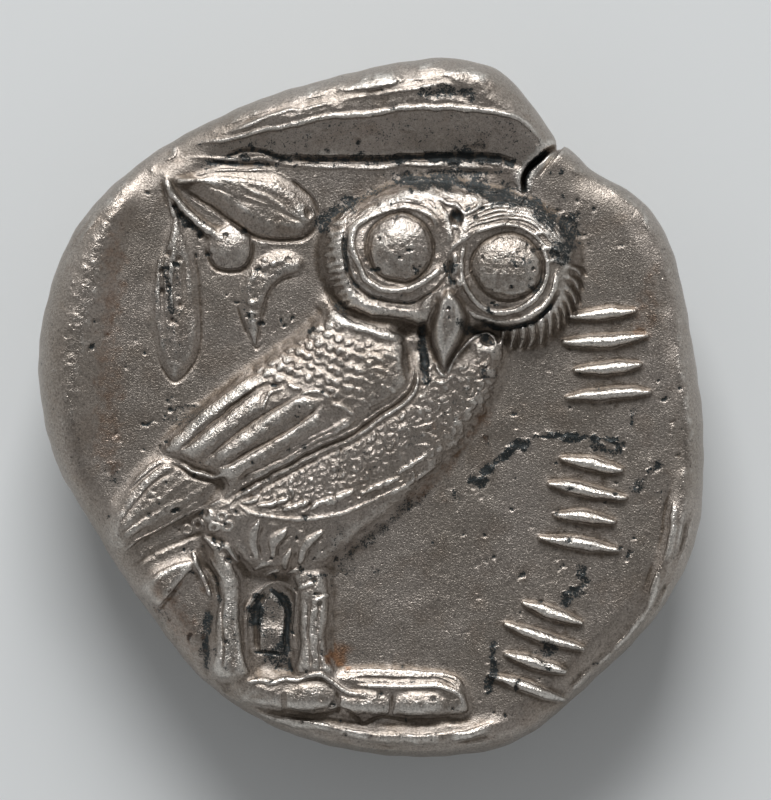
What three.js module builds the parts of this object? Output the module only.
// A struck silver tetradrachm, lying with its owl face up: one solid piece of silver.
// Millimetres, +Z up. The origin is under the middle of the coin, on the surface that it lies on.
// +Y is the owl's upright direction and +X is its right-hand side as seen from above.

import * as THREE from 'three';

// ---------------------------------------------------------------- driving sizes

const FIELD_LEVEL = 4.55;       // height of the sunken field around the owl
const UNDER_LEVEL = 1.15;       // height of the lower face's field, under the middle of the coin
const UNDER_LIFT = 0.9;         // how much the bowed lower face rises from its middle to its border
const EDGE_ROUND = 1.15;        // width of the rounding from either face to the edge
const EDGE_DROP = 1.9;          // how far the edge's widest line lies below the upper border
const WORN_FLAT = 0.02;         // relief within this of the surface that the coin lies on is level with it
const BLEND = 0.12;             // fillet where a raised form meets the surface below it

const STROKE_GROUPS = [[8.35, 1.85], [7.65, -3.5], [6.0, -8.75]];
const STROKES_IN_GROUP = 4;     // plain strokes stand where the real coin carries an inscription
const STROKE_PITCH = 0.95;
const STROKE_LENGTHS = [2.9, 2.2];
const STROKE_WIDTH = 0.56;
const STROKE_RISE = 0.34;

const CURVE_STEP = 0.25;        // spacing of the vertices on a curve
const CELLS = 220;              // cells across each face of the fine mesh
const FACETS = 9600;            // facets left once the fine mesh is thinned
const LOWER_FACE_CARE = 0.15;   // weight of the plainer lower face while thinning
const LENGTH_COST = 1e-5;       // small cost of long collapses, which keeps facets on flats even
const SHARPEST_TURN = 0.25;     // cosine of the most that a facet may turn in one collapse
const SINGULAR = 1e-9;          // below this a facet or a sum of quadrics counts as flat

const { clamp, degToRad, lerp, smoothstep } = THREE.MathUtils;

// ---------------------------------------------------------------- curves and measures

function curveThrough(points, closed = false) {
  const knots = points.map(([x, y]) => new THREE.Vector3(x, y, 0));
  const curve = new THREE.CatmullRomCurve3(knots, closed, 'centripetal');
  return curve.getPoints(Math.ceil(curve.getLength() / CURVE_STEP));
}

// Distance from (x, y) to a path, and the place of the nearest point along it, from 0 to 1.
function nearest(path, x, y) {
  let gap = Infinity;
  let along = 0;
  let travelled = 0;
  for (let i = 1; i < path.length; i += 1) {
    const start = path[i - 1];
    const dx = path[i].x - start.x;
    const dy = path[i].y - start.y;
    const span = Math.hypot(dx, dy);
    if (span === 0) continue;
    const part = clamp(((x - start.x) * dx + (y - start.y) * dy) / (span * span), 0, 1);
    const away = Math.hypot(x - start.x - part * dx, y - start.y - part * dy);
    if (away < gap) {
      gap = away;
      along = travelled + part * span;
    }
    travelled += span;
  }
  return { gap, along: along / travelled };
}

function isInside(loop, x, y) {
  let inside = false;
  for (let i = 0, j = loop.length - 1; i < loop.length; j = i, i += 1) {
    const a = loop[i];
    const b = loop[j];
    if (a.y > y === b.y > y) continue;
    if (x < ((b.x - a.x) * (y - a.y)) / (b.y - a.y) + a.x) inside = !inside;
  }
  return inside;
}

// Quarter circle: climbs steeply from 0 at t = 0 and is level at t = 1.
const rounded = (t) => Math.sqrt(1 - (1 - clamp(t, 0, 1)) ** 2);
// Parabola: climbs at a draft that a die can leave, and is level at t = 1.
const crowned = (t) => 1 - (1 - clamp(t, 0, 1)) ** 2;
const eased = (t) => smoothstep(t, 0, 1);

// The larger of two heights, with the corner between them filled.
function filleted(a, b) {
  const share = clamp(0.5 + (0.5 * (a - b)) / BLEND, 0, 1);
  return lerp(b, a, share) + BLEND * share * (1 - share);
}

// ---------------------------------------------------------------- a face and the forms struck on it

// Heights on a face are measured outwards from the flan. A form is a function that changes the height
// inside its box, and later forms act on what the earlier ones have made.
class Face {
  constructor() {
    this.forms = [];
  }

  strike(path, reach, change) {
    const xs = path.map((point) => point.x);
    const ys = path.map((point) => point.y);
    this.forms.push({
      west: Math.min(...xs) - reach,
      east: Math.max(...xs) + reach,
      south: Math.min(...ys) - reach,
      north: Math.max(...ys) + reach,
      change,
    });
  }

  heightAt(x, y, ground) {
    let height = ground;
    for (const form of this.forms) {
      const near = x > form.west && x < form.east && y > form.south && y < form.north;
      if (near) height = form.change(x, y, height);
    }
    return height;
  }

  // A rounded mass inside a closed outline, `rise` high, which climbs to that over `shoulder`.
  mound(outline, rise, shoulder, slopeX = 0, slopeY = 0) {
    const edge = curveThrough(outline, true);
    this.strike(edge, 0, (x, y, height) => {
      if (!isInside(edge, x, y)) return height;
      const crown = rise + slopeX * x + slopeY * y;
      return filleted(crown * crowned(nearest(edge, x, y).gap / shoulder), height);
    });
  }

  // A line that stands proud, or with a negative rise is cut in.
  ridge(points, width, rise) {
    const spine = curveThrough(points);
    this.strike(spine, width / 2, (x, y, height) => {
      const { gap, along } = nearest(spine, x, y);
      if (gap >= width / 2) return height;
      const ends = eased(0.35 + 6 * Math.min(along, 1 - along));
      return height + rise * ends * (1 - (gap / (width / 2)) ** 2);
    });
  }

  // A rounded line, thick in its middle and pointed at both ends, like a feather or a leaf.
  spindle(points, width, rise) {
    const spine = curveThrough(points);
    this.strike(spine, width / 2, (x, y, height) => {
      const { gap, along } = nearest(spine, x, y);
      const half = (width / 2) * Math.sin(Math.PI * lerp(0.1, 0.9, along));
      return gap < half ? height + rise * crowned(1 - gap / half) : height;
    });
  }

  boss([cx, cy], [rx, ry], rise) {
    const corners = [new THREE.Vector2(cx - rx, cy - ry), new THREE.Vector2(cx + rx, cy + ry)];
    this.strike(corners, 0, (x, y, height) => {
      const away = Math.hypot((x - cx) / rx, (y - cy) / ry);
      return away < 1 ? height + rise * crowned(1 - away) : height;
    });
  }

  hoop([cx, cy], [rx, ry], width, rise) {
    const corners = [new THREE.Vector2(cx - rx, cy - ry), new THREE.Vector2(cx + rx, cy + ry)];
    this.strike(corners, width / 2, (x, y, height) => {
      const away = Math.hypot((x - cx) / rx, (y - cy) / ry);
      const gap = (Math.abs(away - 1) * Math.min(rx, ry)) / (width / 2);
      return gap < 1 ? height + rise * (1 - gap * gap) : height;
    });
  }
}

const upper = new Face();
const lower = new Face();

// ---------------------------------------------------------------- the flan

// Outline of the hand-struck blank, with the notch of its edge crack at the upper right.
const flanEdge = curveThrough([
  [11.9, -1.4], [11.65, 1.2], [11.1, 4.3], [10.47, 6.3], [9.5, 7.5], [8.0, 8.35], [7.3, 9.0], [6.9, 9.3],
  [6.65, 9.05], [6.6, 9.5], [6.0, 10.4], [4.6, 11.95], [2.9, 12.45], [1.0, 12.28], [-2.0, 11.6],
  [-5.0, 10.57], [-8.0, 8.92], [-10.0, 7.16], [-11.3, 4.9], [-11.94, 1.7], [-11.46, -1.6], [-9.9, -4.5],
  [-8.0, -7.4], [-6.0, -9.85], [-4.0, -11.25], [-1.0, -12.3], [2.5, -12.55], [5.0, -12.1], [8.0, -9.8],
  [10.5, -7.1], [11.6, -4.8],
], true);

// Foot of the wall around the field that the square punch sank.
const fieldEdge = curveThrough([
  [-7.5, 8.6], [-5.0, 9.15], [-2.6, 8.65], [1.3, 8.85], [5.4, 8.75], [7.6, 7.6], [9.6, 6.0], [10.35, 3.5],
  [10.7, 0.5], [10.9, -2.0], [10.4, -4.6], [9.7, -6.6], [8.4, -8.6], [6.3, -10.7], [3.4, -11.2],
  [-0.5, -11.3], [-4.2, -10.8], [-6.6, -8.6], [-8.6, -5.9], [-9.9, -3.4], [-9.5, 0.0], [-9.0, 4.0],
  [-8.6, 6.6],
], true);

// The wall's width and rise towards each bearing, in degrees from +X.
const WALL = [
  { bearing: -180, width: 1.3, rise: 0.45 },
  { bearing: -135, width: 0.7, rise: 0.35 },
  { bearing: -90, width: 0.5, rise: 0.45 },
  { bearing: -45, width: 0.5, rise: 0.35 },
  { bearing: 0, width: 0.6, rise: 0.3 },
  { bearing: 45, width: 0.8, rise: 0.35 },
  { bearing: 62, width: 1.4, rise: 0.8 },
  { bearing: 80, width: 1.7, rise: 1.05 },
  { bearing: 115, width: 1.6, rise: 0.85 },
  { bearing: 135, width: 0.8, rise: 0.5 },
  { bearing: 180, width: 1.3, rise: 0.45 },
];

function wallToward(x, y) {
  const bearing = THREE.MathUtils.radToDeg(Math.atan2(y, x));
  const next = Math.max(1, WALL.findIndex((stop) => stop.bearing >= bearing));
  const [from, to] = [WALL[next - 1], WALL[next]];
  const share = eased((bearing - from.bearing) / (to.bearing - from.bearing));
  return { width: lerp(from.width, to.width, share), rise: lerp(from.rise, to.rise, share) };
}

function borderRise(x, y) {
  if (isInside(fieldEdge, x, y)) return 0;
  const wall = wallToward(x, y);
  return wall.rise * eased(nearest(fieldEdge, x, y).gap / wall.width);
}

const edgeRounding = (inset) => rounded(inset / EDGE_ROUND);

function upperHeight(x, y, inset) {
  const relief = upper.heightAt(x, y, borderRise(x, y));
  return FIELD_LEVEL + relief - EDGE_DROP * (1 - edgeRounding(inset));
}

// The lower face bows down to its middle. Its highest relief is worn flat, at the level of z = 0.
function lowerHeight(x, y, inset) {
  const bow = UNDER_LEVEL + UNDER_LIFT * (Math.hypot(x, y) / flanRadius(Math.atan2(y, x))) ** 3;
  const face = Math.max(0, bow - lower.heightAt(x, y, 0));
  const edgeLine = FIELD_LEVEL + borderRise(x, y) - EDGE_DROP;
  return lerp(edgeLine, face, edgeRounding(inset));
}

// ---------------------------------------------------------------- upper face: border and crack

// The punch slipped at the top: a sharp line and a furrow run across the wide border there.
function borderLines() {
  upper.ridge([[-5.0, 9.6], [-2.0, 10.25], [1.0, 10.6], [4.0, 10.5], [6.2, 9.4]], 0.55, 0.22);
  upper.ridge([[-5.0, 10.05], [-1.5, 11.05], [1.0, 11.4], [3.0, 11.35]], 0.4, -0.2);
  upper.ridge([[-5.0, 9.0], [-2.5, 8.75], [1.0, 8.85], [3.0, 8.85], [5.2, 8.6]], 0.5, -0.15);
}

function edgeCrack() {
  upper.ridge([[6.9, 9.2], [6.1, 8.9], [5.6, 8.4], [5.4, 7.7]], 0.35, -0.5);
}

// ---------------------------------------------------------------- upper face: olive sprig and crescent

function oliveSprig() {
  upper.mound([[-6.9, 8.1], [-5.8, 8.45], [-4.5, 8.5], [-3.2, 8.15], [-2.2, 7.3], [-1.95, 6.6],
    [-2.4, 6.05], [-3.5, 5.95], [-4.6, 6.5], [-5.8, 7.3]], 0.62, 0.75);
  upper.ridge([[-5.8, 7.95], [-4.2, 7.25], [-2.5, 6.5]], 0.35, -0.16);
  upper.ridge([[-7.9, 8.4], [-7.4, 8.25], [-6.7, 8.0]], 0.5, 0.35);
  upper.ridge([[-7.3, 7.95], [-6.8, 7.2], [-6.2, 6.5], [-5.7, 6.1]], 0.5, 0.38);
  upper.boss([-5.1, 5.65], [0.85, 0.8], 0.55);
  upper.mound([[-7.0, 6.9], [-7.7, 5.0], [-7.85, 3.5], [-7.7, 2.2], [-7.05, 0.95], [-6.4, 1.6],
    [-6.1, 3.0], [-6.3, 4.8]], 0.42, 0.7);
  upper.ridge([[-7.1, 6.0], [-7.2, 4.0], [-7.05, 2.0]], 0.4, -0.12);
}

function crescent() {
  const hornToHorn = [[-2.6, 5.45], [-3.3, 5.4], [-4.0, 4.95], [-4.4, 4.2], [-4.55, 3.2], [-4.25, 2.1]];
  const innerCurve = [[-4.0, 2.9], [-3.75, 3.9], [-3.3, 4.55], [-2.6, 4.85]];
  upper.mound([...hornToHorn, ...innerCurve], 0.42, 0.35);
}

// ---------------------------------------------------------------- upper face: owl

function breastAndBelly() {
  upper.mound([[4.9, 2.4], [4.8, 1.2], [4.4, 0.1], [3.6, -1.0], [2.2, -2.6], [0.3, -4.4], [-1.0, -5.5],
    [-2.1, -6.1], [-4.3, -6.0], [-5.6, -5.0], [-6.3, -4.0], [-5.5, -2.6], [-2.0, 0.0], [1.0, 2.8],
    [3.0, 3.0]], 1.0, 1.5);
  upper.ridge([[1.6, -2.4], [0.0, -3.4], [-1.5, -3.85], [-4.0, -3.9], [-5.2, -3.3]], 0.5, 0.18);
  upper.spindle([[-0.7, -3.05], [-2.2, -3.6]], 0.45, 0.16);
  upper.spindle([[-2.2, -3.3], [-3.2, -3.6]], 0.4, 0.14);
  for (const x of [-3.95, -3.0, -1.8]) {
    upper.spindle([[x, -4.2], [x - 0.55, -5.5]], 0.45, 0.18);
  }
}

function tail() {
  upper.mound([[-5.0, -2.7], [-7.2, -1.5], [-8.2, -2.1], [-9.2, -3.5], [-9.7, -5.0], [-9.0, -5.45],
    [-7.8, -4.6], [-5.6, -3.5]], 0.75, 0.6);
  upper.ridge([[-6.8, -2.1], [-8.0, -2.9], [-9.2, -4.1]], 0.4, -0.18);
  upper.ridge([[-6.3, -2.6], [-7.6, -3.5], [-9.2, -4.8]], 0.4, -0.18);
  upper.mound([[-6.2, -5.4], [-7.2, -5.5], [-8.4, -6.5], [-7.7, -7.3], [-6.8, -6.6], [-6.3, -6.0]],
    0.5, 0.4);
}

function wing() {
  upper.mound([[1.55, 1.6], [1.4, 2.1], [0.9, 2.55], [-0.8, 3.05], [-1.9, 3.15], [-3.0, 2.25],
    [-5.0, 0.95], [-6.6, -0.4], [-7.6, -1.6], [-6.8, -2.15], [-5.4, -2.75], [-3.5, -2.4],
    [-1.0, -1.05], [0.8, 0.0], [1.5, 0.9]], 1.4, 1.4, 0.05, -0.02);
  upper.ridge([[1.5, 1.6], [1.35, 0.65], [0.3, -0.2], [-1.0, -0.95], [-3.5, -2.35], [-5.3, -3.3]],
    0.3, 0.16);
  const furrows = [
    [[-3.5, 0.9], [-4.6, 0.15], [-7.0, -1.5]],
    [[-2.4, 0.6], [-4.0, -0.35], [-6.3, -1.85]],
    [[-1.7, 0.1], [-3.3, -1.0], [-5.3, -2.2]],
  ];
  for (const furrow of furrows) upper.ridge(furrow, 0.45, -0.24);
  upper.ridge([[-7.3, -1.8], [-6.4, -2.3], [-5.2, -2.45]], 0.35, 0.2);
}

function legs() {
  upper.mound([[-6.1, -4.4], [-4.9, -5.0], [-4.5, -6.6], [-4.45, -8.6], [-4.2, -9.8], [-5.6, -9.8],
    [-5.6, -8.0], [-5.5, -6.5]], 0.8, 0.6);
  upper.mound([[-3.2, -5.6], [-1.6, -5.7], [-1.4, -7.0], [-1.5, -8.6], [-1.2, -9.7], [-2.9, -9.7],
    [-2.75, -8.2], [-2.9, -6.6]], 0.7, 0.55);
  upper.mound([[-4.1, -7.9], [-3.1, -7.9], [-3.1, -8.8], [-4.1, -8.8]], 0.25, 0.3);
}

function feet() {
  upper.mound([[-5.1, -9.7], [-3.0, -9.5], [-1.2, -9.35], [1.0, -9.3], [2.6, -9.5], [3.4, -10.0],
    [3.5, -11.0], [2.6, -11.25], [0.6, -11.1], [-1.3, -11.0], [-3.3, -10.95], [-5.0, -10.8]],
  0.75, 0.65);
  upper.ridge([[-0.6, -9.75], [1.2, -9.75], [2.5, -9.85], [3.1, -10.5]], 0.3, -0.16);
  for (const x of [-4.0, -2.3, -0.3, 1.7]) upper.boss([x, -10.45], [0.88, 0.5], 0.24);
}

function skullAndFace() {
  upper.mound([[-1.9, 5.2], [-1.7, 6.4], [-0.5, 7.35], [0.6, 7.9], [1.8, 8.1], [3.0, 7.95], [4.2, 7.85],
    [5.5, 7.4], [6.8, 6.6], [7.45, 5.8], [7.5, 4.6], [7.1, 3.2], [6.2, 2.2], [5.2, 2.2], [4.4, 2.65],
    [3.3, 2.2], [2.6, 1.2], [1.9, 2.0], [1.2, 2.6], [0.0, 2.75], [-0.9, 3.2], [-1.6, 4.2]], 1.45, 1.5);
}

function eye([x, y], socket, ball) {
  const rim = 0.35;
  upper.boss([x, y], [socket + rim, socket + rim], -0.3);
  upper.hoop([x, y], [socket, socket], 0.5, 0.26);
  upper.boss([x, y], [ball, ball], 0.62);
}

function brows() {
  upper.boss([3.1, 6.75], [0.45, 0.45], -0.4);
  for (const lift of [0, 0.55]) {
    upper.ridge([[3.05, 5.6], [3.6, 6.2 + lift], [4.6, 6.55 + lift], [5.6, 6.35 + lift], [6.4, 5.7 + lift]],
      0.34, 0.16);
    upper.ridge([[2.75, 5.6], [2.4, 6.5 + lift], [1.3, 7.15 + lift], [0.2, 7.0 + lift / 2],
      [-0.7, 6.3 + lift / 2]], 0.32, 0.14);
  }
}

function beakAndCheeks() {
  upper.ridge([[-1.1, 4.8], [-0.6, 3.8], [1.0, 3.2], [2.2, 3.8]], 0.6, 0.16);
  upper.ridge([[3.6, 3.2], [4.5, 3.0], [5.6, 3.3], [6.4, 4.1]], 0.4, 0.16);
  upper.mound([[2.7, 4.3], [3.35, 3.4], [3.2, 2.4], [2.6, 1.05], [2.1, 2.3], [2.05, 3.4]], 1.8, 0.75);
  upper.ridge([[3.95, 2.7], [3.3, 1.9], [2.7, 1.2]], 0.3, 0.3);
  // a fan of hanging feathers under the right eye
  const [eyeX, eyeY] = [4.7, 4.8];
  for (let bearing = -28; bearing >= -78; bearing -= 10) {
    const [dx, dy] = [Math.cos(degToRad(bearing)), Math.sin(degToRad(bearing))];
    const fan = [1.9, 2.85].map((reach) => [eyeX + reach * dx, eyeY + reach * dy]);
    upper.ridge(fan, 0.26, 0.26);
  }
}

// ---------------------------------------------------------------- upper face: rows of plain strokes

// Three groups of short strokes down the right side. They lie level, a little fanned out.
function strokeRows() {
  for (const [groupX, groupY] of STROKE_GROUPS) {
    const tilt = Math.atan2(groupY, groupX) / 3;
    const [dx, dy] = [Math.cos(tilt), Math.sin(tilt)];
    for (let i = 0; i < STROKES_IN_GROUP; i += 1) {
      const away = (i - (STROKES_IN_GROUP - 1) / 2) * STROKE_PITCH;
      const half = STROKE_LENGTHS[i % STROKE_LENGTHS.length] / 2;
      const ends = [-half, half].map((end) => [groupX + end * dx - away * dy, groupY + end * dy + away * dx]);
      upper.spindle(ends, STROKE_WIDTH, STROKE_RISE);
    }
  }
}

// ---------------------------------------------------------------- lower face: plain helmeted head

// Drawn as seen from above, through the coin: it looks towards -X, so towards +X seen from below.
function helmetedHead() {
  const neckAndFace = [[-2.6, 4.6], [-4.3, 4.2], [-4.9, 2.6], [-5.5, 0.7], [-4.9, 0.2], [-5.1, -0.7],
    [-4.7, -1.3], [-4.9, -2.3], [-3.9, -3.2], [-2.2, -3.4], [-1.7, -5.0], [-2.3, -7.2], [0.6, -8.1],
    [3.4, -7.2], [3.2, -4.0], [4.4, -0.5], [3.2, 3.6]];
  lower.mound(neckAndFace, 1.05, 1.9);
  lower.mound([[-4.5, 3.2], [-4.3, 5.4], [-2.6, 7.4], [0.2, 8.4], [3.2, 7.6], [5.3, 5.2], [5.7, 2.0],
    [5.0, -1.0], [4.3, -2.8], [3.2, -1.8], [2.6, 1.0], [0.6, 2.6], [-2.0, 3.0]], 1.3, 2.0);
  lower.ridge([[-4.5, 3.1], [-2.0, 2.9], [0.6, 2.5], [2.6, 1.0], [3.2, -1.8], [4.2, -3.0]], 0.6, 0.22);
  lower.ridge([[-3.6, 7.0], [-1.6, 9.0], [1.6, 9.7], [4.8, 8.6], [7.0, 6.0], [7.9, 2.6], [7.7, -1.0]],
    1.3, 0.7);
  for (const x of [0.2, 1.3]) lower.ridge([[x + 1.6, -1.6], [x + 1.4, -3.6], [x + 1.9, -5.8]], 0.7, 0.3);
  lower.ridge([[-3.9, 1.75], [-3.2, 2.05], [-2.3, 1.75]], 0.3, 0.16);
  lower.boss([-3.4, 1.35], [0.5, 0.3], 0.16);
  // cheek and neck swell up to the level that wear has left flat
  lower.boss([-0.6, 0.1], [2.4, 2.2], 0.5);
  lower.boss([0.6, -5.7], [1.9, 1.6], 0.5);
}

// ---------------------------------------------------------------- solid

const flanPolar = flanEdge.slice(0, -1).map((point) => ({
  bearing: Math.atan2(point.y, point.x),
  radius: Math.hypot(point.x, point.y),
})).sort((a, b) => a.bearing - b.bearing);

function flanRadius(bearing) {
  const count = flanPolar.length;
  const found = flanPolar.findIndex((point) => point.bearing >= bearing);
  const next = found < 0 ? count : found;
  const from = flanPolar[(next + count - 1) % count];
  const to = flanPolar[next % count];
  const turn = 2 * Math.PI;
  const span = (to.bearing - from.bearing + turn) % turn;
  return lerp(from.radius, to.radius, ((bearing - from.bearing + turn) % turn) / span);
}

// Share of the flan's radius at each ring of cells: rings crowd together where the edge is rounded.
function ringRadius(ring) {
  const rounding = 0.1;
  const start = 1 - (rounding * Math.PI) / 2;
  if (ring < start) return (ring * (1 - rounding)) / start;
  return 1 - rounding + rounding * Math.sin(((ring - start) / (1 - start)) * (Math.PI / 2));
}

// Maps a square of cells onto the flan, square rings to rings of the flan's own outline.
function planPoint(i, j) {
  const u = (2 * i) / CELLS - 1;
  const v = (2 * j) / CELLS - 1;
  const ring = Math.max(Math.abs(u), Math.abs(v));
  if (ring === 0) return [0, 0];
  const quarter = Math.PI / 4;
  const slant = Math.abs(u) > Math.abs(v) ? quarter * (v / u) : 2 * quarter - quarter * (u / v);
  const sign = Math.abs(u) > Math.abs(v) ? Math.sign(u) : Math.sign(v);
  const [dx, dy] = [sign * Math.cos(slant), sign * Math.sin(slant)];
  const radius = ringRadius(ring) * flanRadius(Math.atan2(dy, dx));
  return [radius * dx, radius * dy];
}

// ---------------------------------------------------------------- fine mesh of both faces

// Each face is a square of cells. The two share the vertices of the border, which is the coin's edge line.
function fineMesh() {
  const side = CELLS + 1;
  const points = [];
  const corners = [];
  const upperNumbers = [];
  for (const face of [0, 1]) {
    const numbers = face ? [] : upperNumbers;
    for (let j = 0; j < side; j += 1) {
      for (let i = 0; i < side; i += 1) {
        const onBorder = i === 0 || j === 0 || i === CELLS || j === CELLS;
        if (face && onBorder) {
          numbers.push(upperNumbers[j * side + i]);
          continue;
        }
        const [x, y] = planPoint(i, j);
        const inset = onBorder ? 0 : nearest(flanEdge, x, y).gap;
        numbers.push(points.length);
        points.push([x, y, face ? lowerHeight(x, y, inset) : upperHeight(x, y, inset)]);
      }
    }
    for (let j = 0; j < CELLS; j += 1) {
      for (let i = 0; i < CELLS; i += 1) {
        const southWest = j * side + i;
        const cell = [southWest, southWest + 1, southWest + side + 1, southWest + side];
        const [sw, se, ne, nw] = cell.map((place) => numbers[place]);
        // the diagonals point to the square's middle, so that no facet lies along the border
        const rising = 2 * i < CELLS === 2 * j < CELLS;
        const halves = rising ? [[sw, se, ne], [sw, ne, nw]] : [[sw, se, nw], [se, ne, nw]];
        for (const half of halves) corners.push(face ? half.reverse() : half);
      }
    }
  }
  return { points, facets: corners };
}

// ---------------------------------------------------------------- thinning to fewer facets

const difference = (a, b) => [a[0] - b[0], a[1] - b[1], a[2] - b[2]];
const dot = (a, b) => a[0] * b[0] + a[1] * b[1] + a[2] * b[2];
const cross = (a, b) => [a[1] * b[2] - a[2] * b[1], a[2] * b[0] - a[0] * b[2], a[0] * b[1] - a[1] * b[0]];
const areaVector = ([a, b, c]) => cross(difference(b, a), difference(c, a));

// A queue that gives back the entry of least cost first.
class Queue {
  constructor() {
    this.heap = [];
  }

  push(entry) {
    const { heap } = this;
    let place = heap.length;
    while (place > 0) {
      const parent = (place - 1) >> 1;
      if (heap[parent].cost <= entry.cost) break;
      heap[place] = heap[parent];
      place = parent;
    }
    heap[place] = entry;
  }

  pop() {
    const { heap } = this;
    const [least] = heap;
    const entry = heap.pop();
    if (heap.length === 0) return least;
    let place = 0;
    for (let child = 1; child < heap.length; child = 2 * place + 1) {
      if (child + 1 < heap.length && heap[child + 1].cost < heap[child].cost) child += 1;
      if (heap[child].cost >= entry.cost) break;
      heap[place] = heap[child];
      place = child;
    }
    heap[place] = entry;
    return least;
  }
}

// Collapses, again and again, the edge that changes the surface least, until few facets are left.
// The cost is Garland and Heckbert's quadric: the summed squares of the distances to the planes of all
// facets that a vertex stands for.
class Thinner {
  constructor({ points, facets }) {
    this.points = points;
    this.facets = facets;
    this.around = points.map(() => []);
    this.quadrics = points.map(() => new Float64Array(10));
    this.version = points.map(() => 0);
    this.queue = new Queue();
    facets.forEach((facet, number) => this.weigh(facet, number));
    for (const [a, b, c] of facets) {
      for (const [from, to] of [[a, b], [b, c], [c, a]]) if (from < to) this.consider(from, to);
    }
  }

  weigh(facet, number) {
    const spread = areaVector(facet.map((corner) => this.points[corner]));
    const area = Math.hypot(...spread);
    const normal = spread.map((part) => part / area);
    const plane = [...normal, -dot(normal, this.points[facet[0]])];
    const weight = area * (normal[2] < 0 ? LOWER_FACE_CARE : 1);
    for (const corner of facet) {
      const quadric = this.quadrics[corner];
      let term = 0;
      for (let row = 0; row < 4; row += 1) {
        for (let column = row; column < 4; column += 1) {
          quadric[term] += weight * plane[row] * plane[column];
          term += 1;
        }
      }
      this.around[corner].push(number);
    }
  }

  // Queues the collapse of the edge from a to b, with the best place for the vertex that stays.
  consider(a, b) {
    const sum = this.quadrics[a].map((term, i) => term + this.quadrics[b][i]);
    const [xx, xy, xz, x1, yy, yz, y1, zz, z1, one] = sum;
    const costAt = ([x, y, z]) => xx * x * x + yy * y * y + zz * z * z + one
      + 2 * (xy * x * y + xz * x * z + yz * y * z + x1 * x + y1 * y + z1 * z);
    const [start, end] = [this.points[a], this.points[b]];
    const middle = start.map((part, axis) => (part + end[axis]) / 2);
    const length = Math.hypot(...difference(start, end));
    const places = [middle, start, end];
    const rows = [[xx, xy, xz], [xy, yy, yz], [xz, yz, zz]];
    const minors = [cross(rows[1], rows[2]), cross(rows[2], rows[0]), cross(rows[0], rows[1])];
    const determinant = dot(rows[0], minors[0]);
    if (Math.abs(determinant) > SINGULAR) {
      const best = minors.map((minor) => -dot(minor, [x1, y1, z1]) / determinant);
      if (Math.hypot(...difference(best, middle)) < length) places.push(best);
    }
    const costs = places.map(costAt);
    const least = Math.min(...costs);
    const place = places[costs.indexOf(least)];
    const versions = this.version[a] + this.version[b];
    this.queue.push({ cost: least + LENGTH_COST * length * length, a, b, place, versions });
  }

  neighbours(vertex) {
    const found = new Set(this.around[vertex].flatMap((number) => this.facets[number]));
    found.delete(vertex);
    return found;
  }

  // Whether moving a vertex to a place would turn or flatten one of its facets that stays.
  wouldFold(vertex, partner, place) {
    return this.around[vertex].some((number) => {
      const facet = this.facets[number];
      if (facet.includes(partner)) return false;
      const before = areaVector(facet.map((corner) => this.points[corner]));
      const after = areaVector(facet.map((corner) => (corner === vertex ? place : this.points[corner])));
      return dot(before, after) < SHARPEST_TURN * Math.hypot(...before) * Math.hypot(...after) + SINGULAR;
    });
  }

  collapse({ a, b, place, versions }) {
    if (this.around[a].length === 0 || this.around[b].length === 0) return 0;
    if (this.version[a] + this.version[b] !== versions) return 0;
    const partners = this.neighbours(b);
    const shared = [...this.neighbours(a)].filter((vertex) => partners.has(vertex));
    if (shared.length !== 2 || this.wouldFold(a, b, place) || this.wouldFold(b, a, place)) return 0;
    this.points[a] = place;
    for (const number of this.around[b]) {
      const facet = this.facets[number];
      if (facet.includes(a)) {
        for (const corner of facet) {
          this.around[corner] = this.around[corner].filter((other) => other !== number);
        }
        this.facets[number] = null;
      } else {
        facet[facet.indexOf(b)] = a;
        this.around[a].push(number);
      }
    }
    this.around[b] = [];
    this.quadrics[b].forEach((term, i) => {
      this.quadrics[a][i] += term;
    });
    this.version[a] += 1;
    for (const vertex of this.neighbours(a)) this.consider(a, vertex);
    return 2;
  }

  thin(facetsLeft) {
    let left = this.facets.length;
    while (left > facetsLeft) left -= this.collapse(this.queue.pop());
    return { points: this.points, facets: this.facets.filter((facet) => facet !== null) };
  }
}

function coinGeometry() {
  const { points, facets } = new Thinner(fineMesh()).thin(FACETS);
  const used = [...new Set(facets.flat())];
  const places = new Map(used.map((number, place) => [number, place]));
  const geometry = new THREE.BufferGeometry();
  const positions = used.flatMap((number) => {
    const [x, y, z] = points[number];
    return [x, y, z < WORN_FLAT ? 0 : z];
  });
  geometry.setAttribute('position', new THREE.Float32BufferAttribute(positions, 3));
  geometry.setIndex(facets.flat().map((number) => places.get(number)));
  geometry.computeBoundingBox();
  const { min, max } = geometry.boundingBox;
  geometry.translate(-(min.x + max.x) / 2, -(min.y + max.y) / 2, -min.z);
  geometry.computeVertexNormals();
  return geometry;
}

borderLines();
edgeCrack();
breastAndBelly();
tail();
wing();
legs();
feet();
skullAndFace();
eye([0.9, 5.55], 1.5, 1.1);
eye([4.7, 4.85], 1.55, 1.15);
brows();
beakAndCheeks();
oliveSprig();
crescent();
strokeRows();
helmetedHead();

const tarnishedSilver = new THREE.MeshStandardMaterial({ color: '#a39c92', roughness: 0.42, metalness: 0.9 });
const coin = new THREE.Mesh(coinGeometry(), tarnishedSilver);
coin.name = 'coin';

const group = new THREE.Group();
group.add(coin);

export default group;
